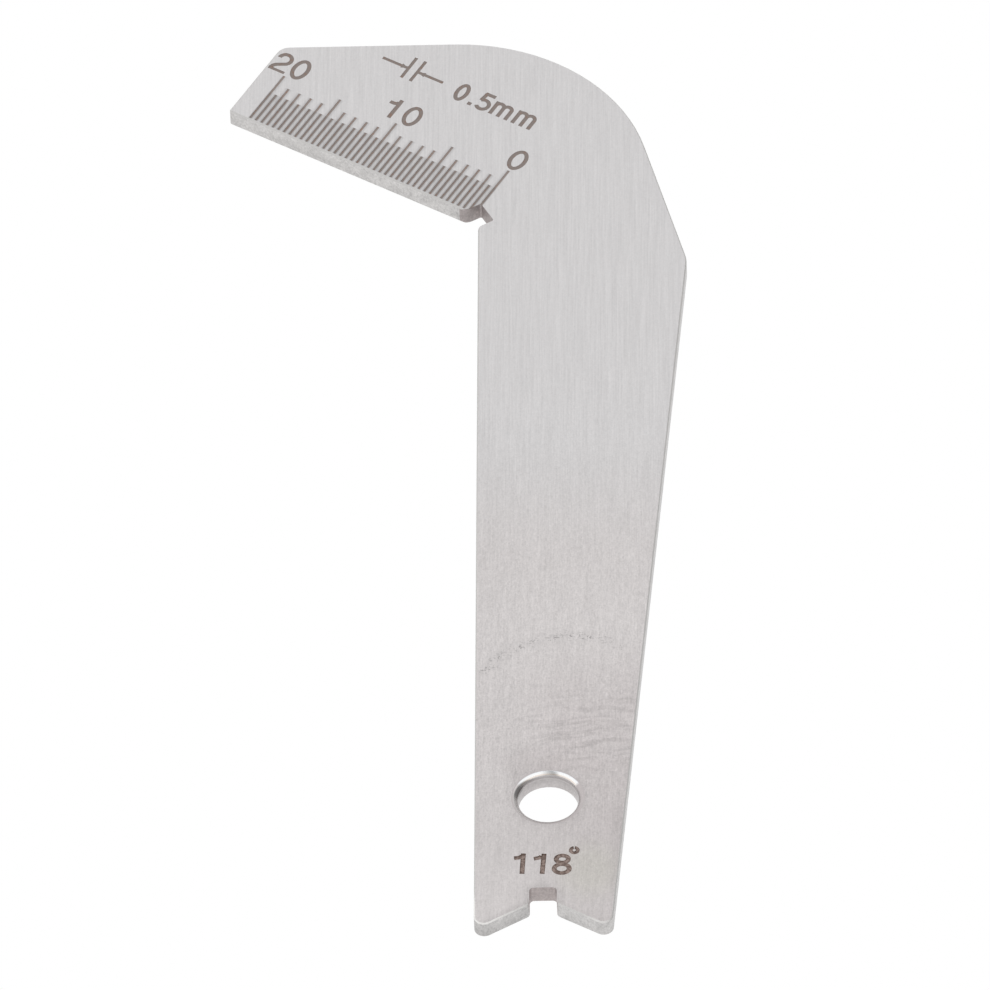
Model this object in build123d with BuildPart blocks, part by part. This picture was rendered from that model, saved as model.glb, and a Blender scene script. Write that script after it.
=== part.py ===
"""Drill point gauge: one flat steel plate with a hooked arm, a graduated edge and a 118 degree notch.

The origin is the measuring corner, where the straight edge of the stem and the graduated edge of
the arm would meet, on the underside. +X runs across the stem, +Y up the stem towards the head and
+Z out of the graduated face. The plate lies on its underside. All sizes are in millimetres.
"""

from build123d import *
import os
from math import cos, radians, sin, tan

# Plate
plate_thickness = 1.5
edge_break = 0.1

# Drill point angle, which sets the graduated edge and both lips of the notch
point_angle = 118.0
lip_slope = 90.0 - point_angle / 2

# Arm and head
arm_length = 22.2
arm_end_corner_radius = 0.2
arm_top_corner_radius = 1.1
head_height = 18.0
head_radius = 15.0
back_lean = 15.4

# Shoulder, where the back of the head meets the tapered edge of the stem
shoulder_width = 15.85
shoulder_drop = 4.85
shoulder_radius = 3.0

# Stem
stem_length = 72.6
stem_end_width = 10.3
stem_end_corner_radius = 0.75

# Relief slot in the measuring corner
corner_slot_width = 2.0
corner_slot_depth = 0.8
corner_slot_root_radius = 0.15
corner_slot_stem_radius = 0.6
corner_slot_arm_radius = 0.9

# Relief slot at the top of the notch
notch_slot_width = 2.05
notch_slot_depth = 1.0
notch_slot_root_radius = 0.35
notch_slot_mouth_radius = 0.65

# Hole to hang the gauge by
hang_hole_diameter = 4.5
hang_hole_rounding = 0.5
hang_hole_inset = 5.5
hang_hole_rise = 13.15

# Graduations along the edge of the arm: a longer line at each second step, the longest at each tenth
graduation_step = 0.5
steps_to_middle_line = 2
steps_to_long_line = 10
graduation_zero = 0.4
graduation_end_margin = 1.6
graduation_start = 0.15
graduation_width = 0.18
graduation_depth = 0.05
short_line = 3.0
middle_line = 4.0
long_line = 5.0

# Directions along the graduated edge, towards the tip of the arm, and square to it, into the plate
along_arm = Vector(-cos(radians(lip_slope)), sin(radians(lip_slope)))
into_arm = Vector(sin(radians(lip_slope)), cos(radians(lip_slope)))


def corner_slot_corners():
    """Corners of the relief slot, which points into the plate along the middle of the corner."""
    slot_angle = radians(90.0 - lip_slope) / 2
    slot_axis = Vector(cos(slot_angle), sin(slot_angle))
    to_arm_side = Vector(-slot_axis.Y, slot_axis.X) * (corner_slot_width / 2)
    root = slot_axis * corner_slot_depth
    mouth_distance = corner_slot_width / 2 / cos(slot_angle)
    return [
        (Vector(0, -mouth_distance), corner_slot_stem_radius),
        (root - to_arm_side, corner_slot_root_radius),
        (root + to_arm_side, corner_slot_root_radius),
        (along_arm * mouth_distance, corner_slot_arm_radius),
    ]


def arm_end_corners():
    """Lower and upper corners of the arm's end, which is square to the graduated edge."""
    lower = along_arm * arm_length
    upper = lower + into_arm * ((head_height - lower.Y) / into_arm.Y)
    return [(lower, arm_end_corner_radius), (upper, arm_top_corner_radius)]


def head_and_shoulder_corners():
    """Where the back's straight line meets the top edge, and where it meets the stem."""
    back_shift = (head_height + shoulder_drop) * tan(radians(back_lean))
    return [
        (Vector(shoulder_width - back_shift, head_height), head_radius),
        (Vector(shoulder_width, -shoulder_drop), shoulder_radius),
    ]


def notch_apex():
    """Where the two lips of the notch would meet, above the middle of the stem's end."""
    middle = stem_end_width / 2
    return Vector(middle, middle * tan(radians(lip_slope)) - stem_length)


def notch_slot_corners():
    """Corners of the relief slot at the top of the notch, from the tapered side."""
    apex = notch_apex()
    half_slot = notch_slot_width / 2
    mouth_height = apex.Y - half_slot * tan(radians(lip_slope))
    root_height = apex.Y + notch_slot_depth
    return [
        (Vector(apex.X + half_slot, mouth_height), notch_slot_mouth_radius),
        (Vector(apex.X + half_slot, root_height), notch_slot_root_radius),
        (Vector(apex.X - half_slot, root_height), notch_slot_root_radius),
        (Vector(apex.X - half_slot, mouth_height), notch_slot_mouth_radius),
    ]


def outline(measuring_corner, notch_top):
    """Corners and radii of the whole outline, clockwise, with what is given for its two recesses."""
    tapered_side_end = [(Vector(stem_end_width, -stem_length), stem_end_corner_radius)]
    straight_side_end = [(Vector(0, -stem_length), stem_end_corner_radius)]
    head = arm_end_corners() + head_and_shoulder_corners()
    return zip(*measuring_corner, *head, *tapered_side_end, *notch_top, *straight_side_end)


# The blank, sharp in its two recesses, and the finished outline with a relief slot in each
blank_corners, blank_radii = outline([(Vector(0, 0), 0)], [(notch_apex(), 0)])
finished_corners, finished_radii = outline(corner_slot_corners(), notch_slot_corners())

# The graduated face, with its own X along the arm towards the corner and its own Y into the plate
scale_plane = Plane(origin=(0, 0, plate_thickness), x_dir=along_arm * -1, z_dir=(0, 0, 1))
last_graduation = int((arm_length - graduation_zero - graduation_end_margin) / graduation_step)


def graduation_length(steps):
    """Length of the line that lies this many steps from zero."""
    if steps % steps_to_long_line == 0:
        return long_line
    if steps % steps_to_middle_line == 0:
        return middle_line
    return short_line


with BuildPart() as gauge_plate:
    # The blank, with the measuring corner and the notch still without their relief slots
    with BuildSketch():
        with BuildLine():
            FilletPolyline(*blank_corners, radius=blank_radii, close=True)
        make_face()
    extrude(amount=plate_thickness)

    # Hang hole, well rounded on the graduated face
    with Locations((hang_hole_inset, hang_hole_rise - stem_length)):
        Hole(hang_hole_diameter / 2)
    graduated_face = gauge_plate.faces().sort_by(Axis.Z).last
    hole_rim = graduated_face.edges().filter_by(lambda edge: edge.is_closed)
    fillet(hole_rim, hang_hole_rounding)

    # Small break along the outline of both faces and round the hole on the underside
    graduated_face = gauge_plate.faces().sort_by(Axis.Z).last
    underside = gauge_plate.faces().sort_by(Axis.Z).first
    chamfer(graduated_face.outer_wire().edges() + underside.edges(), edge_break)

    # The two relief slots, cut through the broken edges down to the finished outline
    with BuildSketch():
        with BuildLine():
            FilletPolyline(*finished_corners, radius=finished_radii, close=True)
        make_face()
    extrude(amount=plate_thickness, mode=Mode.INTERSECT)

    # Graduations, cut as shallow lines that start just inside the broken edge
    with BuildSketch(scale_plane):
        for steps in range(last_graduation + 1):
            distance = graduation_zero + steps * graduation_step
            with Locations((-distance, graduation_start)):
                Rectangle(
                    graduation_width,
                    graduation_length(steps),
                    align=(Align.CENTER, Align.MIN),
                )
    extrude(amount=-graduation_depth, mode=Mode.SUBTRACT)

gauge_plate.part.label = "gauge_plate"

os.makedirs("parts", exist_ok=True)
export_step(gauge_plate.part, "parts/gauge_plate.step")
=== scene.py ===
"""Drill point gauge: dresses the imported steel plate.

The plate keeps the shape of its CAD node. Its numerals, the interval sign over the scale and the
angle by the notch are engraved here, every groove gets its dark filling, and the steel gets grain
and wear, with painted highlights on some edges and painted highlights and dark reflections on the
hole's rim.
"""

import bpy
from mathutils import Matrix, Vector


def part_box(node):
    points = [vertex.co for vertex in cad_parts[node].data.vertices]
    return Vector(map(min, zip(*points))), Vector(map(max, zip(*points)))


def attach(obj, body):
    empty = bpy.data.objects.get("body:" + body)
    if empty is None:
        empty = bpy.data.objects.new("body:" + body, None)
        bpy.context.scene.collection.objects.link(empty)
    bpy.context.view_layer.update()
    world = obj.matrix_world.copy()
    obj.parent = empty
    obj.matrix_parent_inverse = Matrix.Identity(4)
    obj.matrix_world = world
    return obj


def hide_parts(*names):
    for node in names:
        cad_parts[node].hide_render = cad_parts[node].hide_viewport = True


bl_info = {
    "name": "Drill Point Gauge",
    "version": (1, 0, 0),
    "blender": (4, 5, 0),
    "location": "View3D > Sidebar > Gauge",
    "description": "Engraves and finishes a flat steel drill point gauge and sets its stage",
    "category": "Add Mesh",
}

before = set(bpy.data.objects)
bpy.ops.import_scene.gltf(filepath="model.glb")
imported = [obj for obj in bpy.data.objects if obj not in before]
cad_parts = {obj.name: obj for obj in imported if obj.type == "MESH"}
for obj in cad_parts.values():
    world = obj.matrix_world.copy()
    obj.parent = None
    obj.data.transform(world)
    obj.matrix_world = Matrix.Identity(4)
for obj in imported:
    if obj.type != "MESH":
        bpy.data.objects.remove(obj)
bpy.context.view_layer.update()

import math

import bpy
from bpy.props import FloatProperty, FloatVectorProperty, PointerProperty
from bpy.types import Operator, Panel, PropertyGroup
from mathutils import Matrix, Vector

MM = 0.001
TOP = Vector(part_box("gauge_plate")[1]).z

# The plate's own sizes, in millimetres
THICKNESS = TOP / MM
HOLE_CENTRE = (5.5, -59.45)
HOLE_RADIUS = 2.25
HOLE_ROUNDING = 0.5
NOTCH_MIDDLE = 5.15
# The place up the stem where the notch's two lips would meet, and how steeply they fall from there
LIPS_MEET = -69.505
LIP_SLOPE = 0.601
# How much the tapered side comes in for each millimetre down the stem
TAPER = 0.0819
# Middle and reach of the two relief slots
SLOTS = (((0.0, 0.0), 1.75), ((NOTCH_MIDDLE, -69.3), 1.3))
# Zero lies this far along the graduated edge from the measuring corner
SCALE_ZERO = 0.4

# The graduated edge runs at this slope to the plate's X, and its lettering is turned with it
SCALE_TURN = math.radians(-31.0)

# Corners of a mesh that lie nearer than this, in millimetres, are merged
MERGE = 0.0005

# Z of a face's normal: over FLAT on the two large faces, over LEVEL on the floor of a groove, about
# 0.7 on the broken edges and under STEEP on a wall. On the underside it is negative.
FLAT, LEVEL, STEEP = 0.9999, 0.99, 0.55

# Strokes are drawn in millimetres in the lettering's own frame, as (x, y, heading, moves), and a
# share of the usual width where they are thinner. A move is (length, 0) for a straight run, or
# (radius, degrees) for a bend, to the left where that is positive. Rings are (x, y, half width,
# half height) of their outer edge.
NUMERAL_STROKES = [
    (-21.75, 6.68, 90, [(0.5, -180), (0.5, -60), (0.62, 0), (0.6, 60)]),  # 2
    (-21.98, 5.42, 0, [(1.4, 0)], 0.77),
    (-11.25, 7.42, -90.3, [(2.05, 0)]),  # 1
    (-12.0, 6.87, 0, [(0.33, 0), (0.35, 70)]),
]
NUMERAL_RINGS = [(-19.66, 6.32, 0.7, 1.09), (-9.72, 6.36, 0.7, 1.08), (-0.37, 6.42, 0.715, 1.085)]

SIGN_STROKES = [
    (-12.6, 11.75, -89.6, [(2.33, 0)]),
    (-11.8, 11.77, -90, [(2.33, 0)]),
    (-14.88, 10.52, 0, [(2.25, 0)]),
    (-9.52, 10.52, 180, [(2.25, 0)]),
]
# Arrowheads of the sign: middle, half length, which is positive where the tip is on the right, and
# half height
SIGN_HEADS = [(-13.0, 10.52, 0.3, 0.23), (-11.33, 10.52, -0.3, 0.23)]

UNIT_STROKES = [
    (-6.82, 9.66, 0, [(0.33, 0)]),  # the point
    (-5.2, 11.17, 180, [(0.86, 0)]),  # 5
    (-5.95, 11.2, -97, [(0.82, 0)]),
    (-6.06, 10.4, 47, [(0.48, -180), (0.48, -105)]),
    (-4.78, 10.93, -90, [(1.4, 0)]),  # m
    (-4.78, 10.48, 90, [(0.338, -180), (0.95, 0)]),
    (-4.1, 10.48, 90, [(0.338, -180), (0.95, 0)]),
    (-2.79, 10.98, -90, [(1.45, 0)]),  # m
    (-2.79, 10.52, 90, [(0.348, -180), (0.99, 0)]),
    (-2.1, 10.52, 90, [(0.348, -180), (0.99, 0)]),
]
UNIT_RINGS = [(-7.73, 10.38, 0.54, 0.94)]

ANGLE_STROKES = [
    (3.68, -65.07, -93, [(2.04, 0)]),  # 1
    (2.98, -65.53, 8, [(0.3, 0), (0.42, 55)]),
    (5.22, -65.13, -94, [(2.02, 0)]),  # 1
    (4.46, -65.62, 12, [(0.3, 0), (0.42, 50)]),
    (7.5, -64.575, -6, [(0.26, -345)], 0.78),  # degree
]
ANGLE_RINGS = [(6.58, -65.7, 0.685, 0.585), (6.54, -66.65, 0.795, 0.675)]
# The angle's strokes narrow to this share of their width at their floor
ANGLE_FLOOR = 0.6


def millimetres(name, text, default):
    """A length that is given in millimetres and kept in metres."""
    return FloatProperty(
        name=name, description=text, default=default * MM, min=0.0, max=10.0 * MM, unit="LENGTH",
        precision=6,
    )


def proportion(name, text, default):
    """A strength or a share from 0 to 1."""
    return FloatProperty(
        name=name, description=text, default=default, min=0.0, max=1.0, subtype="FACTOR"
    )


def colour(name, text, default):
    return FloatVectorProperty(
        name=name, description=text, default=default, size=3, min=0.0, max=1.0, subtype="COLOR"
    )


class GaugeLettering(PropertyGroup):
    """Widths and depths of the engraved lettering."""

    numeral_stroke: millimetres("Numeral stroke", "Width of the strokes of 0, 10 and 20", 0.325)
    sign_stroke: millimetres("Sign stroke", "Width of the interval sign's bars and arrows", 0.255)
    unit_stroke: millimetres("Unit stroke", "Width of the strokes of 0.5mm", 0.315)
    angle_stroke: millimetres("Angle stroke", "Width of the angle's strokes at the surface", 0.46)
    etch_depth: millimetres("Etch depth", "Depth of the lettering by the scale", 0.05)
    angle_depth: millimetres("Angle depth", "Depth of the angle's strokes, punched deeper", 0.09)
    filling_drop: millimetres("Filling drop", "From the surface down to the scale's filling", 0.02)
    angle_filling: millimetres("Angle filling", "Thickness of the filling in the angle", 0.02)


class GaugeFinish(PropertyGroup):
    """Colours of the steel and of what fills its grooves."""

    steel: colour("Steel", "Brushed faces", (0.648, 0.635, 0.637))
    handled_steel: colour("Handled steel", "Lower half of the stem", (0.643, 0.615, 0.611))
    warm_steel: colour("Warm steel", "Worn patches low on the stem", (0.53, 0.492, 0.49))
    olive_steel: colour("Olive steel", "Faint film by the lower right corner", (0.54, 0.53, 0.47))
    broken_edge: colour("Broken edge", "Small breaks along the outline", (0.62, 0.61, 0.6))
    ground_steel: colour("Ground steel", "Ground side faces", (0.61, 0.597, 0.589))
    slot_wall: colour("Slot wall", "Walls of the relief slots", (0.5, 0.453, 0.445))
    hole_wall: colour("Hole wall", "Wall of the hang hole", (0.46, 0.437, 0.434))
    # The rim's polished colour and its pale left side are painted highlights
    polished_rim_highlight: colour("Polished rim", "Polished part of the rounding", (0.93, 0.93, 0.93))
    pale_rim_highlight: colour("Pale rim", "Left side of the rounding", (0.98, 0.94, 0.93))
    # Painted glints in the rim's highlight
    warm_glint: colour("Warm glint", "Inner line in the polish", (0.8, 0.68, 0.58))
    cool_glint: colour("Cool glint", "Outer line in the polish", (0.78, 0.84, 0.92))
    filling: colour("Filling", "Dark filling in the scale and its lettering", (0.25, 0.207, 0.188))
    warm_filling: colour("Warm filling", "The same where it is worn thin", (0.27, 0.175, 0.135))
    angle_filling: colour("Angle filling", "Filling in the angle's strokes", (0.16, 0.11, 0.092))
    bare_filling: colour("Bare filling", "The same where it is nearly bare", (0.33, 0.25, 0.22))
    # Specks of bare steel, painted bright as glints
    bare_speck_glint: colour("Bare speck", "Specks of steel in the fillings", (0.8, 0.74, 0.72))


class GaugeWearAndPaintedLight(PropertyGroup):
    """How much the marks of use and of the etching, the darker places by the edges and the painted
    dark reflections on the hole's rim darken the steel.
    """

    specks: proportion("Specks", "Arc of specks across the stem", 0.56)
    wiping: proportion("Wiping", "Fine arcs to the right of the specks and round the hole", 0.16)
    margins: proportion("Margins", "Soft edges of the graduations", 0.38)
    lips: proportion("Lips", "Both faces along the lips of the notch", 0.12)
    slot: proportion("Slot", "Both faces round the notch's slot", 0.11)
    hole: proportion("Hole", "Both faces close round the hang hole", 0.06)
    hole_streak: proportion("Hole streak", "Soft streak up from the hole's left side", 0.035)
    taper: proportion("Taper", "Both faces along the tapered edge by the hole", 0.07)
    # Both darken the rim's highlight as painted dark reflections; the nick is also a real nick
    rim_nick_and_dark_reflection: proportion("Rim nick", "Dull nick in the polish of the hole's rim", 0.38)
    rim_dark_reflection: proportion("Rim streak", "Dark streak where the rim's polish ends", 0.5)


class GaugeStage(PropertyGroup):
    """Camera and light."""

    aim: FloatVectorProperty(
        name="Aim", description="Point that the camera looks at", size=3, subtype="TRANSLATION",
        unit="LENGTH", default=(1.4026 * MM, -28.7534 * MM, TOP),
    )
    distance: FloatProperty(
        name="Distance", description="From the aim to the camera", default=2.569129, min=0.1,
        unit="LENGTH",
    )
    azimuth: FloatProperty(
        name="Azimuth", description="Turn of the camera round the gauge",
        default=math.radians(2.2439), subtype="ANGLE", unit="ROTATION",
    )
    elevation: FloatProperty(
        name="Elevation", description="Height of the camera over the horizon",
        default=math.radians(47.4525), subtype="ANGLE", unit="ROTATION",
    )
    roll: FloatProperty(
        name="Roll", description="Tilt of the picture", default=math.radians(-2.7116),
        subtype="ANGLE", unit="ROTATION",
    )
    sensor: FloatProperty(
        name="Sensor", description="Width of the camera's sensor in millimetres", default=36.0,
        min=1.0,
    )
    lens: FloatProperty(
        name="Lens", description="Focal length in millimetres", default=1240.9018, min=10.0
    )
    floor_size: FloatProperty(
        name="Floor size", description="Width of the floor", default=8.0, min=1.0, unit="LENGTH"
    )
    room_light: FloatProperty(
        name="Room light", description="Strength of the even light all round", default=1.05, min=0.0
    )
    right_light: FloatProperty(
        name="Right light", description="Strength of the light low on the right", default=0.3,
        min=0.0,
    )
    gap_light: proportion("Gap light", "Light left between the two softboxes", 0.6)


# Selecting and drawing


def deselect():
    """Leaves edit mode, and selects nothing."""
    if bpy.context.object is not None and bpy.context.object.mode != "OBJECT":
        bpy.ops.object.mode_set(mode="OBJECT")
    bpy.ops.object.select_all(action="DESELECT")


def pick(obj):
    """Makes obj the only selected object, and the active one."""
    deselect()
    obj.select_set(True)
    bpy.context.view_layer.objects.active = obj


def select_faces(obj, wanted):
    """In edit mode, selects only the faces for which wanted(face) is true. Returns how many."""
    bpy.ops.mesh.select_all(action="DESELECT")
    bpy.ops.object.mode_set(mode="OBJECT")
    found = 0
    for face in obj.data.polygons:
        face.select = wanted(face)
        found += face.select
    bpy.ops.object.mode_set(mode="EDIT")
    bpy.ops.mesh.select_mode(type="FACE")
    return found


def join(parts, name):
    deselect()
    for part in parts:
        part.select_set(True)
    bpy.context.view_layer.objects.active = parts[0]
    if len(parts) > 1:
        bpy.ops.object.join()
    joined = bpy.context.object
    joined.name = name
    return joined


def close_up(obj):
    """Merges doubled corners, closes open ends and turns all faces outwards."""
    pick(obj)
    bpy.ops.object.mode_set(mode="EDIT")
    bpy.ops.mesh.select_all(action="SELECT")
    bpy.ops.mesh.remove_doubles(threshold=MERGE)
    bpy.ops.mesh.select_mode(type="EDGE")
    bpy.ops.mesh.select_all(action="DESELECT")
    bpy.ops.mesh.select_non_manifold(extend=False)
    bpy.ops.mesh.edge_face_add()
    bpy.ops.mesh.select_all(action="SELECT")
    bpy.ops.mesh.normals_make_consistent(inside=False)
    bpy.ops.object.mode_set(mode="OBJECT")


def draw_stroke(stroke, width, depth, floor_share):
    """A bar along the stroke: an upright section, extruded along each run and spun round each bend."""
    x, y, heading, moves, *thinner = stroke
    if thinner:
        width *= thinner[0]
    angle = math.radians(heading)
    deselect()
    upright = (math.pi / 2, 0.0, angle + math.pi / 2)
    bpy.ops.mesh.primitive_plane_add(size=1.0, location=(x, y, 0.0), rotation=upright)
    bar = bpy.context.object
    bar.scale = (width, 2 * depth, 1.0)
    bpy.ops.object.transform_apply(location=True, rotation=True, scale=True)
    side = Vector((-math.sin(angle), math.cos(angle), 0.0))
    start = Vector((x, y, 0.0))
    for vertex in bar.data.vertices:
        if vertex.co.z < 0.0:
            vertex.co -= side * (vertex.co - start).dot(side) * (1.0 - floor_share)
    bpy.ops.object.mode_set(mode="EDIT")
    bpy.ops.mesh.select_all(action="SELECT")
    for size, bend in moves:
        if bend:
            turn = math.radians(bend)
            out = Vector((-math.sin(angle), math.cos(angle), 0.0)) * math.copysign(size, bend)
            centre = Vector((x, y, 0.0)) + out
            # One step for about each 11 degrees
            steps = max(2, round(abs(bend) / 11.0))
            bpy.ops.mesh.spin(steps=steps, angle=-turn, center=centre, axis=(0.0, 0.0, 1.0))
            x, y = (centre + Matrix.Rotation(turn, 3, "Z") @ -out).xy
            angle += turn
        else:
            run = Vector((math.cos(angle), math.sin(angle), 0.0)) * size
            bpy.ops.mesh.extrude_region_move(TRANSFORM_OT_translate={"value": run})
            x, y = x + run.x, y + run.y
    bpy.ops.object.mode_set(mode="OBJECT")
    close_up(bar)
    return bar


def draw_ring(ring, width, depth, floor_share):
    """An oval band: a filled circle, stretched, with its middle inset and taken out."""
    x, y, half_width, half_height = ring
    deselect()
    bpy.ops.mesh.primitive_circle_add(
        vertices=40, radius=1.0, fill_type="NGON", location=(x, y, depth)
    )
    oval = bpy.context.object
    oval.scale = (half_width, half_height, 1.0)
    bpy.ops.object.transform_apply(location=True, rotation=True, scale=True)
    bpy.ops.object.mode_set(mode="EDIT")
    bpy.ops.mesh.select_mode(type="FACE")
    bpy.ops.mesh.select_all(action="SELECT")
    bpy.ops.mesh.inset(thickness=width, use_even_offset=True)
    bpy.ops.mesh.delete(type="FACE")
    bpy.ops.mesh.select_all(action="SELECT")
    bpy.ops.mesh.extrude_region_move(TRANSFORM_OT_translate={"value": (0.0, 0.0, -2 * depth)})
    bpy.ops.object.mode_set(mode="OBJECT")
    narrow_ring_floor(oval, ring, width, floor_share)
    close_up(oval)
    return oval


def narrow_ring_floor(oval, ring, width, floor_share):
    """Moves the lower edges of both walls towards the middle of the band between them."""
    x, y, half_width, half_height = ring
    shift = width * (1.0 - floor_share) / 2
    centre = Vector((x, y, 0.0))
    inner = (half_width - width / 2, half_height - width / 2)
    for vertex in oval.data.vertices:
        if vertex.co.z < 0.0:
            offset = vertex.co - centre
            way = Vector((offset.x / inner[0] ** 2, offset.y / inner[1] ** 2, 0.0)).normalized()
            inside = (offset.x / inner[0]) ** 2 + (offset.y / inner[1]) ** 2 < 1.0
            vertex.co += way * (shift if inside else -shift)


def draw_head(head, depth):
    """An arrowhead: a three-cornered prism."""
    x, y, half_length, half_height = head
    deselect()
    bpy.ops.mesh.primitive_circle_add(
        vertices=3, radius=1.0, fill_type="NGON", location=(x, y, depth)
    )
    prism = bpy.context.object
    bpy.ops.object.mode_set(mode="EDIT")
    bpy.ops.mesh.select_all(action="SELECT")
    bpy.ops.mesh.extrude_region_move(TRANSFORM_OT_translate={"value": (0.0, 0.0, -2 * depth)})
    bpy.ops.object.mode_set(mode="OBJECT")
    # The primitive's corners lie 1 and -0.5 from its middle along Y, and 0.866 either way along X
    prism.rotation_euler.z = math.copysign(math.pi / 2, -half_length)
    prism.scale = (half_height / 0.866, abs(half_length) / 0.75, 1.0)
    bpy.ops.object.transform_apply(location=True, rotation=True, scale=True)
    close_up(prism)
    return prism


def lettering(name, strokes, rings, heads, width, depth, turn, floor_share=1.0):
    """All strokes of one inscription as a cutter, in place over the graduated face."""
    width, depth = width / MM, depth / MM
    parts = [draw_stroke(stroke, width, depth, floor_share) for stroke in strokes]
    parts += [draw_ring(ring, width, depth, floor_share) for ring in rings]
    parts += [draw_head(head, depth) for head in heads]
    cutter = join(parts, name)
    pick(cutter)
    cutter.rotation_euler.z = turn
    cutter.scale = (MM, MM, MM)
    cutter.location.z = TOP
    bpy.ops.object.transform_apply(location=True, rotation=True, scale=True)
    return cutter


def engrave(plate, cutter):
    """Takes the cutter's shape out of the plate, and then the cutter out of the scene."""
    pick(plate)
    modifier = plate.modifiers.new("Engraving", "BOOLEAN")
    modifier.operation = "DIFFERENCE"
    modifier.solver = "EXACT"
    modifier.use_self = True
    modifier.object = cutter
    before = len(plate.data.polygons)
    bpy.ops.object.modifier_apply(modifier=modifier.name)
    if len(plate.data.polygons) <= before:
        raise RuntimeError(f"{cutter.name} cut nothing")
    bpy.data.objects.remove(cutter, do_unlink=True)


# Materials. Their lengths are in millimetres, apart from what goes into the node groups.


def put(tree, kind, **settings):
    node = tree.nodes.new(kind)
    for name, value in settings.items():
        setattr(node, name, value)
    return node


def feed(tree, socket, value):
    """Links a socket to an input, or sets the input to a number or colour."""
    if isinstance(value, bpy.types.NodeSocket):
        tree.links.new(value, socket)
    else:
        socket.default_value = value


def maths(tree, operation, *values, clamp=False):
    node = put(tree, "ShaderNodeMath", operation=operation, use_clamp=clamp)
    for socket, value in zip(node.inputs, values):
        feed(tree, socket, value)
    return node.outputs[0]


def times(tree, product, *others):
    """All values multiplied."""
    for other in others:
        product = maths(tree, "MULTIPLY", product, other)
    return product


def add_shares(tree, total, *pairs):
    """Adds to the total each value times its share."""
    for value, share in pairs:
        total = maths(tree, "MULTIPLY_ADD", value, share, total)
    return total


def between(tree, share, first, last):
    """The number that lies this share of the way from first to last."""
    return maths(tree, "MULTIPLY_ADD", share, last - first, first)


def spread(tree, value, low, high, to_low=0.0, to_high=1.0):
    """Maps low to high smoothly onto to_low to to_high, and holds the ends."""
    node = put(tree, "ShaderNodeMapRange", interpolation_type="SMOOTHSTEP", clamp=True)
    for socket, number in zip(node.inputs, (value, low, high, to_low, to_high)):
        feed(tree, socket, number)
    return node.outputs[0]


def fall(tree, value, near, far):
    """1 up to near, falling smoothly to 0 at far."""
    return spread(tree, value, near, far, 1.0, 0.0)


def band(tree, value, middle, reach):
    """1 where value is at the middle, falling smoothly to 0 at the reach on either side."""
    return fall(tree, maths(tree, "ABSOLUTE", maths(tree, "SUBTRACT", value, middle)), 0.0, reach)


def blend(tree, share, first, second, how="MIX"):
    node = put(tree, "ShaderNodeMix", data_type="RGBA", blend_type=how, clamp_result=False)
    feed(tree, node.inputs[0], share)
    for socket, value in zip(node.inputs[6:8], (first, second)):
        feed(tree, socket, value if isinstance(value, bpy.types.NodeSocket) else (*value, 1.0))
    return node.outputs[2]


def scaled_grey(tree, tone, factor):
    """A colour times a factor that varies over the surface."""
    grey = put(tree, "ShaderNodeCombineColor")
    for socket in grey.inputs:
        feed(tree, socket, factor)
    return blend(tree, 1.0, tone, grey.outputs[0], "MULTIPLY")


def noise(tree, vector, scale, detail=2.0, roughness=0.5):
    node = put(tree, "ShaderNodeTexNoise")
    feed(tree, node.inputs["Vector"], vector)
    feed(tree, node.inputs["Scale"], scale)
    feed(tree, node.inputs["Detail"], detail)
    feed(tree, node.inputs["Roughness"], roughness)
    return node.outputs["Fac"]


def about_zero(tree, value, gain):
    """Noise, which lies about 0.5, moved to lie about 0 and made stronger."""
    return maths(tree, "MULTIPLY", maths(tree, "SUBTRACT", value, 0.5), gain)


def mapped(tree, vector, scale=(1.0, 1.0, 1.0), turn=0.0, shift=(0.0, 0.0, 0.0)):
    node = put(tree, "ShaderNodeMapping")
    feed(tree, node.inputs["Vector"], vector)
    node.inputs["Scale"].default_value = scale
    node.inputs["Rotation"].default_value[2] = turn
    node.inputs["Location"].default_value = shift
    return node.outputs["Vector"]


def turned(tree, place, degrees):
    return mapped(tree, place, turn=math.radians(degrees))


def axes(tree, vector):
    """The parts of a vector along X, Y and Z."""
    node = put(tree, "ShaderNodeSeparateXYZ")
    feed(tree, node.inputs[0], vector)
    return node.outputs


def in_millimetres(tree, place, turn=0.0, centre=(0.0, 0.0)):
    """The parts of a place in millimetres, along axes turned about Z, or counted from a centre."""
    shift = (-centre[0], -centre[1], 0.0)
    return axes(tree, mapped(tree, place, (1 / MM, 1 / MM, 1 / MM), turn, shift))


def distance(tree, place, centre, half_width=1.0, half_height=1.0):
    """How far a place lies from centre over the plate, as a multiple of an ellipse's half sizes."""
    shift = (-centre[0] / half_width, -centre[1] / half_height, 0.0)
    scale = (1 / (half_width * MM), 1 / (half_height * MM), 0.0)
    node = put(tree, "ShaderNodeVectorMath", operation="LENGTH")
    feed(tree, node.inputs[0], mapped(tree, place, scale, shift=shift))
    return node.outputs["Value"]


def new_group(name, inputs, outputs):
    """An empty node group with the named sockets. Returns its tree and the two ends."""
    tree = bpy.data.node_groups.new(name, "ShaderNodeTree")
    for label, kind, value in inputs:
        socket = tree.interface.new_socket(label, in_out="INPUT", socket_type=kind)
        if value is not None:
            socket.default_value = value
    for label, kind in outputs:
        tree.interface.new_socket(label, in_out="OUTPUT", socket_type=kind)
    return tree, put(tree, "NodeGroupInput").outputs, put(tree, "NodeGroupOutput").inputs


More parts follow.
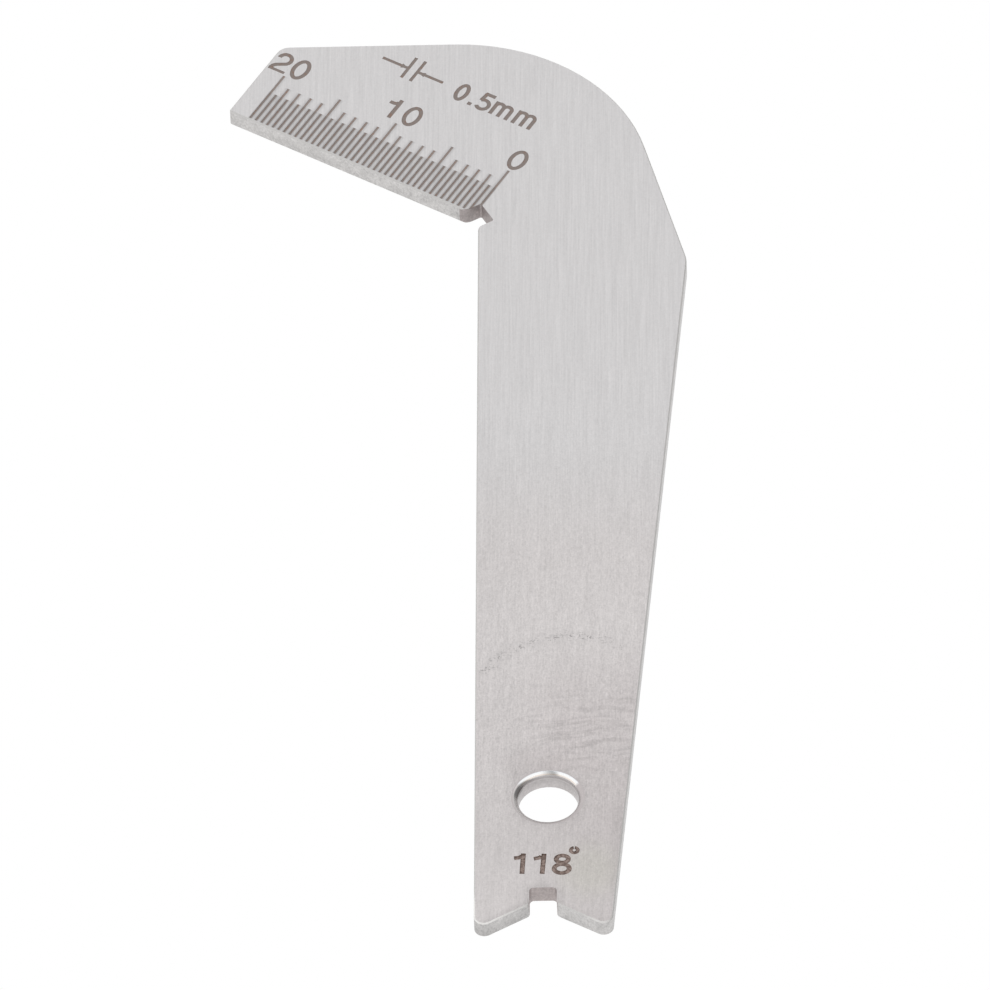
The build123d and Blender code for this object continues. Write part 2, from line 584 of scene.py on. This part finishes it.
def grain_group():
    """Fine lines along Y, broken up, and round speckles, each from -1 to 1 about a middle of 0."""
    tree, given, result = new_group(
        "directional_grain",
        [
            ("Coordinates", "NodeSocketVector", None),
            ("Line width", "NodeSocketFloat", 0.1 * MM),
            ("Stretch", "NodeSocketFloat", 6.0),
        ],
        [("Grain", "NodeSocketFloat"), ("Speckle", "NodeSocketFloat")],
    )
    per_metre = maths(tree, "DIVIDE", 1.0, given["Line width"])
    along = maths(tree, "DIVIDE", per_metre, given["Stretch"])
    scale = put(tree, "ShaderNodeCombineXYZ")
    for socket, value in zip(scale.inputs, (per_metre, along, along)):
        feed(tree, socket, value)
    product = put(tree, "ShaderNodeVectorMath", operation="MULTIPLY")
    feed(tree, product.inputs[0], given["Coordinates"])
    feed(tree, product.inputs[1], scale.outputs[0])
    lines = noise(tree, product.outputs[0], 1.0, 2.0, 0.6)
    dots = noise(tree, given["Coordinates"], per_metre, 1.0, 0.5)
    feed(tree, result["Grain"], about_zero(tree, lines, 4.0))
    feed(tree, result["Speckle"], about_zero(tree, dots, 4.0))
    return tree


def patches_group():
    """Soft patches, from -1 to 1 about a middle of 0."""
    tree, given, result = new_group(
        "soft_patches",
        [("Coordinates", "NodeSocketVector", None), ("Patch size", "NodeSocketFloat", 3.0 * MM)],
        [("Patches", "NodeSocketFloat")],
    )
    per_metre = maths(tree, "DIVIDE", 1.0, given["Patch size"])
    cloud = noise(tree, given["Coordinates"], per_metre, 3.0, 0.55)
    feed(tree, result["Patches"], about_zero(tree, cloud, 3.0))
    return tree


def use_group(tree, group, coordinates, **values):
    node = put(tree, "ShaderNodeGroup", node_tree=group)
    feed(tree, node.inputs["Coordinates"], coordinates)
    for label, value in values.items():
        feed(tree, node.inputs[label.replace("_", " ")], value)
    return node.outputs


def grain_of(tree, group, coordinates, line_width, stretch):
    """Grain and Speckle, of lines this many millimetres wide."""
    return use_group(tree, group, coordinates, Line_width=line_width * MM, Stretch=stretch)


def patches_of(tree, group, coordinates, size):
    """Soft patches of this many millimetres."""
    return use_group(tree, group, coordinates, Patch_size=size * MM)["Patches"]


def new_material(name, metallic=1.0):
    """A material with a Principled shader. Returns its tree, the shader's inputs and coordinates."""
    material = bpy.data.materials.new(name)
    material.use_nodes = True
    tree = material.node_tree
    tree.nodes.clear()
    shader = put(tree, "ShaderNodeBsdfPrincipled")
    output = put(tree, "ShaderNodeOutputMaterial")
    tree.links.new(shader.outputs[0], output.inputs[0])
    shader.inputs["Metallic"].default_value = metallic
    place = put(tree, "ShaderNodeTexCoord").outputs["Object"]
    return tree, shader.inputs, place


def worn_patches(tree, place, x, y, clouds):
    """Where the lower stem is worn warm: most of all on the right, and above the hang hole."""
    worn = times(
        tree,
        spread(tree, y, -42.0, -52.0),
        spread(tree, y, -62.0, -70.0, 1.0, 0.7),
        between(tree, spread(tree, x, 1.0, 9.0), 0.165, 0.65),
    )
    above_hole = distance(tree, place, (4.6, -56.4), 3.0, 2.2)
    worn = maths(tree, "ADD", worn, spread(tree, above_hole, 0.4, 1.2, 0.25, 0.0))
    return add_shares(tree, worn, (clouds, times(tree, worn, 0.35)))


def speck_arc(tree, place, x, y, speckle, grain, patches):
    """Short dark specks in clusters along an arc across the stem."""
    clusters = patches_of(tree, patches, place, 0.7)
    path = distance(tree, place, (7.0, -52.2), 8.2, 9.0)
    dashes = grain_of(tree, grain, turned(tree, place, 90.0), 0.15, 3.0)["Grain"]
    return times(
        tree,
        band(tree, add_shares(tree, path, (clusters, 0.03)), 1.0, 0.085),
        spread(tree, y, -49.5, -47.0),
        spread(tree, x, 11.6, 10.8),
        spread(tree, clusters, -0.4, 0.4, 0.3, 1.0),
        spread(tree, maths(tree, "MAXIMUM", dashes, speckle), 0.2, 0.7),
    )


def wiped_arcs(tree, place, x, y):
    """Fine arcs left by wiping round a point beyond the notch, wavy and broken up along X."""
    wave, spacing, length = 1.1, 0.45, 2.6
    reach = distance(tree, place, (9.5, -75.0))
    reach = add_shares(tree, reach, (noise(tree, place, 0.4 / MM, 1.0), wave))
    lines = put(tree, "ShaderNodeCombineXYZ")
    feed(tree, lines.inputs[0], maths(tree, "DIVIDE", reach, spacing))
    feed(tree, lines.inputs[1], maths(tree, "DIVIDE", x, length))
    return times(
        tree,
        band(tree, y, -53.0, 7.5),
        spread(tree, x, 1.5, 6.5, 0.25, 1.0),
        spread(tree, noise(tree, lines.outputs[0], 1.0, 2.0, 0.6), 0.4, 0.68, -0.3, 0.7),
    )


def line_margins(tree, place):
    """The soft dark edge that the etching leaves on either side of each graduation."""
    along, into, _ = in_millimetres(tree, place, turn=-SCALE_TURN)
    lines = None
    # For each of the three lengths: the step between its lines, where they end, how dark the edge is
    for step, end, strength in ((0.5, 3.15, 1.0), (1.0, 4.15, 0.64), (5.0, 5.15, 0.55)):
        phase = maths(tree, "DIVIDE", maths(tree, "ADD", along, SCALE_ZERO), step)
        to_line = maths(tree, "MULTIPLY", maths(tree, "PINGPONG", phase, 0.5), step)
        line = times(
            tree,
            spread(tree, to_line, 0.04, 0.36, strength, 0.0),
            spread(tree, into, end + 0.06, end - 0.02),
        )
        lines = line if lines is None else maths(tree, "MAXIMUM", lines, line)
    return times(
        tree,
        lines,
        spread(tree, along, -20.6, -20.5),
        spread(tree, along, -0.2, -0.3),
        spread(tree, into, 0.05, 0.2),
    )


def brushed_steel(finish, wear, grain, patches):
    """The two large faces: grain along the stem, and the marks of use, most on the marked face."""
    tree, shader, place = new_material("brushed_steel")
    x, y, z = in_millimetres(tree, place)
    marked_face = spread(tree, z, 0.4 * THICKNESS, 0.6 * THICKNESS)
    marks = grain_of(tree, grain, place, 0.12, 4.0)
    long = grain_of(tree, grain, place, 0.13, 40.0)["Grain"]
    streaks = grain_of(tree, grain, turned(tree, place, 4.0), 0.34, 7.0)["Grain"]
    slanting = grain_of(tree, grain, turned(tree, place, 42.0), 0.3, 4.5)["Grain"]
    clouds = patches_of(tree, patches, place, 3.5)
    blotches = patches_of(tree, patches, place, 1.1)

    # The grain gets rougher down the stem. Each kind of mark has a strength for smooth and for rough.
    rough = times(tree, spread(tree, y, -8.0, -52.0), spread(tree, y, -58.0, -66.0, 1.0, 0.6))
    factor = 1.0
    for mark, when_smooth, when_rough in (
        (marks["Grain"], 0.03, 0.102),
        (long, 0.062, 0.042),
        (marks["Speckle"], 0.027, 0.082),
        (streaks, 0.012, 0.052),
        (clouds, 0.017, 0.027),
    ):
        factor = add_shares(tree, factor, (mark, between(tree, rough, when_smooth, when_rough)))
    swirled = maths(tree, "ADD", band(tree, y, -64.5, 4.0), band(tree, y, -36.0, 9.0), clamp=True)
    factor = add_shares(
        tree,
        factor,
        (times(tree, swirled, slanting), -0.03),
        (times(tree, spread(tree, y, -40.0, -54.0), blotches), 0.025),
        # Broad bands of slightly darker and lighter steel
        (band(tree, y, -31.0, 13.0), -0.018),
        (band(tree, y, -48.0, 9.0), 0.018),
        (band(tree, y, -63.0, 6.0), -0.018),
    )

    from_middle = maths(tree, "ABSOLUTE", maths(tree, "SUBTRACT", x, NOTCH_MIDDLE))
    above_lips = maths(tree, "SUBTRACT", add_shares(tree, y, (from_middle, LIP_SLOPE)), LIPS_MEET)
    at_lips = times(tree, fall(tree, above_lips, 0.1, 0.8), spread(tree, x, 7.0, 3.0, 0.3, 1.0))
    round_slot = fall(tree, distance(tree, place, (NOTCH_MIDDLE, -69.4), 1.7, 1.5), 0.6, 1.25)
    round_hole = fall(tree, distance(tree, place, HOLE_CENTRE), 2.65, 3.3)
    above_hole = fall(tree, distance(tree, place, (3.1, -56.4), 0.9, 2.8), 0.3, 1.0)
    # Across the stem, with the taper taken out: the tapered edge itself lies at 16.25
    by_taper = spread(tree, add_shares(tree, x, (y, -TAPER)), 14.9, 16.1)
    specks = speck_arc(tree, place, x, y, marks["Speckle"], grain, patches)
    factor = add_shares(
        tree,
        factor,
        (times(tree, specks, marked_face), -wear.specks),
        (times(tree, wiped_arcs(tree, place, x, y), marked_face), -wear.wiping),
        (times(tree, line_margins(tree, place), marked_face), -wear.margins),
        (at_lips, -wear.lips),
        (round_slot, -wear.slot),
        (round_hole, -wear.hole),
        (times(tree, above_hole, marked_face), -wear.hole_streak),
        (times(tree, by_taper, band(tree, y, -64.5, 9.0)), -wear.taper),
    )

    base = blend(tree, spread(tree, y, -22.0, -36.0), finish.steel, finish.handled_steel)
    worn = times(tree, worn_patches(tree, place, x, y, clouds), marked_face)
    base = blend(tree, worn, base, finish.warm_steel)
    film = spread(tree, distance(tree, place, (8.6, -66.8), 2.8, 3.2), 0.3, 1.2, 0.42, 0.0)
    base = blend(tree, times(tree, film, marked_face), base, finish.olive_steel)
    feed(tree, shader["Base Color"], scaled_grey(tree, base, factor))
    feed(tree, shader["Roughness"], add_shares(tree, 0.36, (clouds, 0.03)))
    bump = put(tree, "ShaderNodeBump")
    bump.inputs["Strength"].default_value = 0.15
    bump.inputs["Distance"].default_value = 0.01 * MM
    feed(tree, bump.inputs["Height"], marks["Grain"])
    feed(tree, shader["Normal"], bump.outputs[0])


def cut_steel(name, tone, grain, patches, contrast, roughness, lower=0.96, upper=1.0):
    """A matt cut face: short marks of the tool, soft patches, and a tone that runs from lower at the
    bottom to upper at the top.
    """
    tree, shader, place = new_material(name)
    x, y, z = in_millimetres(tree, place)
    marks = grain_of(tree, grain, turned(tree, place, 90.0), 0.13, 1.5)
    # The notch's lips are duller, the one on the straight side most, and the corner slot is darker
    at_lips = times(tree, spread(tree, y, -69.2, -70.0), spread(tree, x, 6.0, 4.0, 0.35, 1.0))
    in_corner = spread(tree, distance(tree, place, (0.0, 0.0)), 2.1, 1.7)
    factor = add_shares(
        tree,
        spread(tree, z, 0.1 * THICKNESS, 0.9 * THICKNESS, lower, upper),
        (at_lips, -0.1),
        (in_corner, -0.15),
        (marks["Grain"], contrast),
        (patches_of(tree, patches, place, 0.9), contrast),
    )
    feed(tree, shader["Base Color"], scaled_grey(tree, tone, factor))
    feed(tree, shader["Roughness"], add_shares(tree, roughness, (marks["Speckle"], 0.05)))


def broken_edge(finish, grain):
    """The small breaks along the outline, with painted highlights along some of them."""
    tree, shader, place = new_material("broken_edge")
    x, y, _ = in_millimetres(tree, place)
    lines = grain_of(tree, grain, place, 0.15, 1.5)["Grain"]
    # Painted highlight along the tapered side, and along the notch's lip on the straight side
    left_lip_highlight = times(tree, spread(tree, y, -68.5, -70.0), spread(tree, x, 8.0, 2.0))
    # Along the lips the painted highlight fades towards the slot, and is brightest near the corner of
    # the straight side
    lips = spread(tree, y, -68.5, -69.3)
    by_slot = times(tree, spread(tree, x, 2.0, 5.0), spread(tree, x, 9.4, 7.9))
    factor = add_shares(
        tree,
        1.0,
        (lines, 0.05),
        (spread(tree, x, 2.0, 8.0), 0.23),
        (left_lip_highlight, 0.34),
        (times(tree, lips, by_slot), -0.18),
        (times(tree, lips, band(tree, x, 1.4, 1.0)), 0.13),
    )
    feed(tree, shader["Base Color"], scaled_grey(tree, finish.broken_edge, factor))
    feed(tree, shader["Roughness"], add_shares(tree, 0.62, (lines, 0.03)))


def hole_rim(finish, wear, grain):
    """The hole's rounding, from the plate's edge to the wall: partly polished, with a painted
    highlight on the polish and on its pale left side, and painted dark reflections.
    """
    tree, shader, place = new_material("polished_rim_highlight")
    lines = grain_of(tree, grain, place, 0.12, 1.0)["Grain"]
    reach = distance(tree, place, HOLE_CENTRE)
    inner, outer = HOLE_RADIUS, HOLE_RADIUS + HOLE_ROUNDING
    # 1 straight towards the head, and straight to the left, seen from the hole's middle
    across, along, _ = in_millimetres(tree, place, centre=HOLE_CENTRE)
    towards_head = maths(tree, "DIVIDE", along, reach)
    to_left = maths(tree, "DIVIDE", across, maths(tree, "MULTIPLY", reach, -1.0))
    # Real polish, and a painted highlight: the bright polished colour lies only where the rim faces
    # the head
    polish = times(
        tree,
        spread(tree, towards_head, 0.46, 0.58),
        spread(tree, reach, outer - 0.06, outer - 0.14),
        spread(tree, reach, inner + 0.09, inner + 0.15),
    )
    # Painted highlight on the rounding's pale left side
    pale = times(
        tree, spread(tree, to_left, 0.0, 0.95), spread(tree, reach, outer - 0.02, outer - 0.2)
    )
    # Painted glints: a warm inner line and a cool outer line in the rim's highlight
    warm = times(tree, band(tree, reach, inner + 0.16, 0.07), polish, 0.8)
    cool = times(tree, band(tree, reach, outer - 0.1, 0.08), polish, 0.6)
    # The inner edge is like the wall, a little lighter
    inner_edge = [1.17 * part for part in finish.hole_wall]
    base = finish.warm_steel
    for share, tone in (
        (pale, finish.pale_rim_highlight),
        (polish, finish.polished_rim_highlight),
        (warm, finish.warm_glint),
        (cool, finish.cool_glint),
        (spread(tree, reach, inner + 0.15, inner + 0.09), inner_edge),
    ):
        base = blend(tree, share, base, tone)
    # A dull nick in the polish, which is also a painted dark reflection that breaks the highlight, and
    # a painted dark reflection where the polish ends on the left
    nick = times(tree, band(tree, across, 0.12, 0.8), polish)
    streak = times(
        tree,
        spread(tree, towards_head, -0.14, 0.2),
        spread(tree, towards_head, 0.66, 0.42),
        spread(tree, to_left, 0.4, 0.7),
        spread(tree, reach, outer - 0.08, outer - 0.3),
    )
    factor = add_shares(
        tree, 1.0, (lines, 0.04), (nick, -wear.rim_nick_and_dark_reflection), (streak, -wear.rim_dark_reflection)
    )
    feed(tree, shader["Base Color"], scaled_grey(tree, base, factor))
    glossy = maths(tree, "MAXIMUM", polish, streak)
    feed(tree, shader["Roughness"], spread(tree, glossy, 0.0, 1.0, 0.42, 0.12))


def dark_filling(name, thick, thin_tone, bare_speck_glint, grain, worn_share):
    """Dark matt paint and etch in the grooves, brown where it is thin, with specks of bare steel
    painted bright as glints.
    """
    tree, shader, place = new_material(name, metallic=0.0)
    _, into, _ = in_millimetres(tree, place, turn=-SCALE_TURN)
    dots = grain_of(tree, grain, place, 0.22, 1.0)
    thin = spread(tree, dots["Speckle"], 0.1 - worn_share, 1.1 - worn_share)
    # Paler in the ends of the long graduations, beyond the short ones
    ends = times(tree, spread(tree, into, 3.0, 3.3), spread(tree, into, 5.4, 5.2))
    base = blend(tree, thin, thick, thin_tone)
    base = scaled_grey(tree, base, add_shares(tree, 1.0, (ends, 0.2)))
    # Specks of bare steel, painted bright as glints
    bare = times(tree, spread(tree, dots["Grain"], 1.0, 1.5), worn_share)
    feed(tree, shader["Base Color"], blend(tree, bare, base, bare_speck_glint))
    feed(tree, shader["Roughness"], add_shares(tree, 0.6, (dots["Grain"], 0.08)))


# The pieces


def finished_materials():
    """All of the gauge's materials, made the first time that an operator asks for them."""
    finish = bpy.context.scene.gauge_finish
    wear = bpy.context.scene.gauge_wear
    if "brushed_steel" not in bpy.data.materials:
        grain, patches = grain_group(), patches_group()
        brushed_steel(finish, wear, grain, patches)
        broken_edge(finish, grain)
        hole_rim(finish, wear, grain)
        cut_steel("ground_steel", finish.ground_steel, grain, patches, contrast=0.16, roughness=0.5)
        cut_steel("slot_wall", finish.slot_wall, grain, patches, contrast=0.16, roughness=0.6)
        cut_steel(
            "hole_wall", finish.hole_wall, grain, patches, contrast=0.13, roughness=0.4,
            lower=1.19, upper=0.94,
        )
        dark_filling(
            "etched_filling", finish.filling, finish.warm_filling, finish.bare_speck_glint, grain,
            worn_share=0.0,
        )
        dark_filling(
            "punched_filling", finish.angle_filling, finish.bare_filling, finish.bare_speck_glint, grain,
            worn_share=0.5,
        )
    return bpy.data.materials


PLATE_FINISHES = (
    "brushed_steel", "ground_steel", "broken_edge", "etched_filling", "polished_rim_highlight", "hole_wall",
    "slot_wall", "punched_filling",
)


def finish_of(face):
    """The finish of one of the plate's faces, by its place and the way that it faces."""
    upright = face.normal.z
    place, height = face.center.xy / MM, face.center.z / MM
    below_top = THICKNESS - height
    if abs(upright) > FLAT and min(height, below_top) < 0.001:
        return "brushed_steel"
    if (place - Vector(HOLE_CENTRE)).length < HOLE_RADIUS + HOLE_ROUNDING:
        if below_top < HOLE_ROUNDING:
            return "polished_rim_highlight"
        return "hole_wall" if abs(upright) < STEEP else "broken_edge"
    # No groove is as deep as this
    if below_top < 0.14 and (upright > LEVEL or upright < STEEP):
        return "etched_filling" if place.y > -60.0 else "punched_filling"
    if abs(upright) > STEEP:
        return "broken_edge"
    in_slot = any((place - Vector(middle)).length < reach for middle, reach in SLOTS)
    return "slot_wall" if in_slot else "ground_steel"


class GAUGE_OT_engraved_plate(Operator):
    """Copies the plate, engraves its lettering and gives its faces their finish"""

    bl_idname = "gauge.engraved_plate"
    bl_label = "Engraved plate"

    def execute(self, context):
        sizes = context.scene.gauge_lettering
        materials = finished_materials()
        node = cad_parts["gauge_plate"]
        plate = bpy.data.objects.new("gauge_plate_engraved", node.data.copy())
        context.scene.collection.objects.link(plate)
        plate.data.transform(node.matrix_world)
        pick(plate)
        if plate.data.has_custom_normals:
            bpy.ops.mesh.customdata_custom_splitnormals_clear()
        bpy.ops.object.mode_set(mode="EDIT")
        bpy.ops.mesh.select_all(action="SELECT")
        bpy.ops.mesh.remove_doubles(threshold=MERGE * MM)
        bpy.ops.object.mode_set(mode="OBJECT")

        etch = {"depth": sizes.etch_depth, "turn": SCALE_TURN}
        for cutter in (
            lettering("numerals", NUMERAL_STROKES, NUMERAL_RINGS, [], sizes.numeral_stroke, **etch),
            lettering("sign", SIGN_STROKES, [], SIGN_HEADS, sizes.sign_stroke, **etch),
            lettering("unit", UNIT_STROKES, UNIT_RINGS, [], sizes.unit_stroke, **etch),
            lettering(
                "angle", ANGLE_STROKES, ANGLE_RINGS, [], sizes.angle_stroke, sizes.angle_depth,
                turn=0.0, floor_share=ANGLE_FLOOR,
            ),
        ):
            engrave(plate, cutter)

        plate.data.materials.clear()
        for name in PLATE_FINISHES:
            plate.data.materials.append(materials[name])
        for face in plate.data.polygons:
            face.material_index = PLATE_FINISHES.index(finish_of(face))
        pick(plate)
        bpy.ops.object.shade_smooth_by_angle(angle=math.radians(25.0))
        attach(plate, "root")
        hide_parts("gauge_plate")
        return {"FINISHED"}


def fill_grooves(plate, name, inside, depth, rise, material):
    """A filling that stands on the floors of the grooves whose middle is inside."""

    def is_floor(face):
        at_depth = abs(face.center.z - TOP + depth) < 0.005 * MM
        return face.normal.z > LEVEL and at_depth and inside(face.center)

    pick(plate)
    bpy.ops.object.mode_set(mode="EDIT")
    if not select_faces(plate, is_floor):
        raise RuntimeError(f"{name}: no groove found")
    bpy.ops.mesh.duplicate()
    bpy.ops.mesh.separate(type="SELECTED")
    bpy.ops.object.mode_set(mode="OBJECT")
    filling = next(o for o in bpy.context.selected_objects if o is not plate)
    filling.name = name
    pick(filling)
    bpy.ops.object.mode_set(mode="EDIT")
    bpy.ops.mesh.select_all(action="SELECT")
    bpy.ops.mesh.extrude_region_move(TRANSFORM_OT_translate={"value": (0.0, 0.0, rise)})
    bpy.ops.mesh.select_all(action="SELECT")
    bpy.ops.mesh.normals_make_consistent(inside=False)
    bpy.ops.object.mode_set(mode="OBJECT")
    filling.data.materials.clear()
    filling.data.materials.append(material)
    for face in filling.data.polygons:
        face.material_index = 0
    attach(filling, "root")


# Each filling by the scale, and how far from the graduated edge its grooves begin and end
SCALE_FILLINGS = (
    ("graduation_filling", -1.0, 5.2),
    ("numeral_filling", 5.2, 8.5),
    ("sign_filling", 8.5, 14.0),
)


class GAUGE_OT_groove_fillings(Operator):
    """Lays the dark filling into the graduations and the lettering"""

    bl_idname = "gauge.groove_fillings"
    bl_label = "Groove fillings"

    def execute(self, context):
        sizes = context.scene.gauge_lettering
        materials = finished_materials()
        plate = bpy.data.objects.get("gauge_plate_engraved")
        if plate is None:
            raise RuntimeError("the engraved plate has to be made first")

        def from_edge(place):
            return math.sin(-SCALE_TURN) * place.x + math.cos(SCALE_TURN) * place.y

        for name, low, high in SCALE_FILLINGS:
            fill_grooves(
                plate,
                name,
                lambda place: low * MM < from_edge(place) < high * MM and place.y > -20 * MM,
                sizes.etch_depth,
                sizes.etch_depth - sizes.filling_drop,
                materials["etched_filling"],
            )
        fill_grooves(
            plate,
            "angle_filling",
            lambda place: place.y < -60 * MM,
            sizes.angle_depth,
            sizes.angle_filling,
            materials["punched_filling"],
        )
        return {"FINISHED"}


def lay_floor(size):
    """A floor that glows evenly and pale, a hair below the gauge."""
    deselect()
    bpy.ops.mesh.primitive_plane_add(size=size, location=(0.0, 0.0, -0.02 * MM))
    floor = bpy.context.object
    floor.name = "pale_floor"
    bpy.ops.object.transform_apply(location=True, rotation=True, scale=True)
    material = bpy.data.materials.new("pale_floor")
    material.use_nodes = True
    tree = material.node_tree
    tree.nodes.clear()
    glow = put(tree, "ShaderNodeEmission")
    tree.links.new(glow.outputs[0], put(tree, "ShaderNodeOutputMaterial").inputs[0])
    floor.data.materials.append(material)


def light_room(scene, stage):
    """Even light all round, dim low on the right and behind it, and in a gap between two softboxes."""
    scene.world = bpy.data.worlds.new("studio")
    scene.world.use_nodes = True
    tree = scene.world.node_tree
    tree.nodes.clear()
    x, y, z = axes(tree, put(tree, "ShaderNodeTexCoord").outputs["Generated"])
    right = add_shares(tree, x, (y, 0.5), (z, -0.6))
    # The gap starts a little beyond overhead and widens on its way over the camera
    beside = maths(tree, "DIVIDE", x, maths(tree, "MAXIMUM", maths(tree, "SUBTRACT", 0.5, y), 0.05))
    gap = times(tree, band(tree, beside, -0.245, 0.26), spread(tree, y, 0.45, 0.25))
    strength = times(
        tree,
        spread(tree, right, 0.0, 0.48, stage.room_light, stage.right_light),
        between(tree, gap, 1.0, stage.gap_light),
    )
    lit, plain = (put(tree, "ShaderNodeBackground") for _ in range(2))
    for background in (lit, plain):
        background.inputs["Color"].default_value = (1.0, 1.0, 1.0, 1.0)
    feed(tree, lit.inputs["Strength"], strength)
    mix = put(tree, "ShaderNodeMixShader")
    feed(tree, mix.inputs[0], put(tree, "ShaderNodeLightPath").outputs["Is Camera Ray"])
    tree.links.new(lit.outputs[0], mix.inputs[1])
    tree.links.new(plain.outputs[0], mix.inputs[2])
    tree.links.new(mix.outputs[0], put(tree, "ShaderNodeOutputWorld").inputs[0])


def place_camera(scene, stage):
    turn = (
        Matrix.Rotation(stage.azimuth, 4, "Z")
        @ Matrix.Rotation(math.pi / 2 - stage.elevation, 4, "X")
        @ Matrix.Rotation(stage.roll, 4, "Z")
    )
    place = Vector(stage.aim) + turn @ Vector((0.0, 0.0, stage.distance))
    bpy.ops.object.camera_add(location=place, rotation=turn.to_euler())
    camera = bpy.context.object
    camera.name = "camera"
    camera.data.sensor_width = stage.sensor
    camera.data.lens = stage.lens
    camera.data.clip_start = 0.1
    camera.data.clip_end = 50.0
    scene.camera = camera


class GAUGE_OT_stage(Operator):
    """Sets the pale floor, the soft light and the camera"""

    bl_idname = "gauge.stage"
    bl_label = "Stage"

    def execute(self, context):
        scene = context.scene
        scene.view_settings.view_transform = "Standard"
        lay_floor(scene.gauge_stage.floor_size)
        light_room(scene, scene.gauge_stage)
        place_camera(scene, scene.gauge_stage)
        return {"FINISHED"}


GROUPS = {
    "gauge_lettering": GaugeLettering,
    "gauge_finish": GaugeFinish,
    "gauge_wear": GaugeWearAndPaintedLight,
    "gauge_stage": GaugeStage,
}
STEPS = (GAUGE_OT_engraved_plate, GAUGE_OT_groove_fillings, GAUGE_OT_stage)


class GAUGE_PT_panel(Panel):
    """Lists the steps that dress the gauge, with their sizes and colours"""

    bl_idname = "GAUGE_PT_panel"
    bl_label = "Drill Point Gauge"
    bl_space_type = "VIEW_3D"
    bl_region_type = "UI"
    bl_category = "Gauge"

    def draw(self, context):
        layout = self.layout
        for group_name in GROUPS:
            group = getattr(context.scene, group_name)
            box = layout.box()
            for name in group.__annotations__:
                box.prop(group, name)
        for step in STEPS:
            layout.operator(step.bl_idname)


CLASSES = (*GROUPS.values(), *STEPS, GAUGE_PT_panel)


def register():
    for cls in CLASSES:
        bpy.utils.register_class(cls)
    for name, group in GROUPS.items():
        setattr(bpy.types.Scene, name, PointerProperty(type=group))


def unregister():
    for name in GROUPS:
        delattr(bpy.types.Scene, name)
    for cls in reversed(CLASSES):
        bpy.utils.unregister_class(cls)


def main():
    register()
    bpy.ops.gauge.engraved_plate()
    bpy.ops.gauge.groove_fillings()
    bpy.ops.gauge.stage()


if __name__ == "__main__":
    main()
